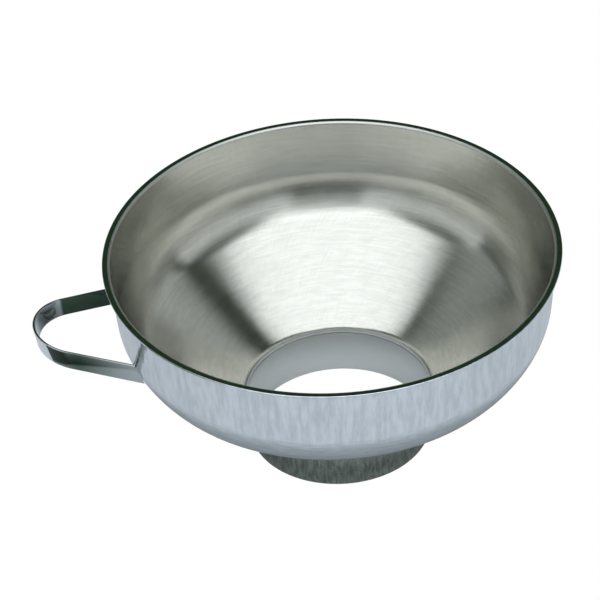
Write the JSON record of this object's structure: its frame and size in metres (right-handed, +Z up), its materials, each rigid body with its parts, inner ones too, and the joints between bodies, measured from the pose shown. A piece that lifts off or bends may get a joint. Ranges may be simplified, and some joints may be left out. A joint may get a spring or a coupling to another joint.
{
  "type": "canning funnel",
  "caption": "Wide-mouth stainless steel canning funnel: a flared bowl with a turned-out lip, a short tapered spout and a strap loop handle at the side.",
  "frame": {"origin": "on the surface the funnel stands on, under the middle of the whole part's box. The bowl and spout turn about a vertical axis at x = +11.45 mm, y = 0", "axes": "+Z up along the funnel's axis, from the spout to the lip; -X towards the handle; +Y to the left of someone looking from the handle towards the bowl"},
  "size_m": [0.163, 0.14, 0.07],
  "materials": {
    "bowl_steel": "satin brushed round the inside, polished outside and on the lip",
    "spout_steel": "matte drawn steel with a fine mottled grain",
    "strap_steel": "mirror polished"
  },
  "bodies": {
    "root": {"bowl": "bowl_steel", "spout": "spout_steel", "handle_strap": "strap_steel"}
  },
  "joints": []
}
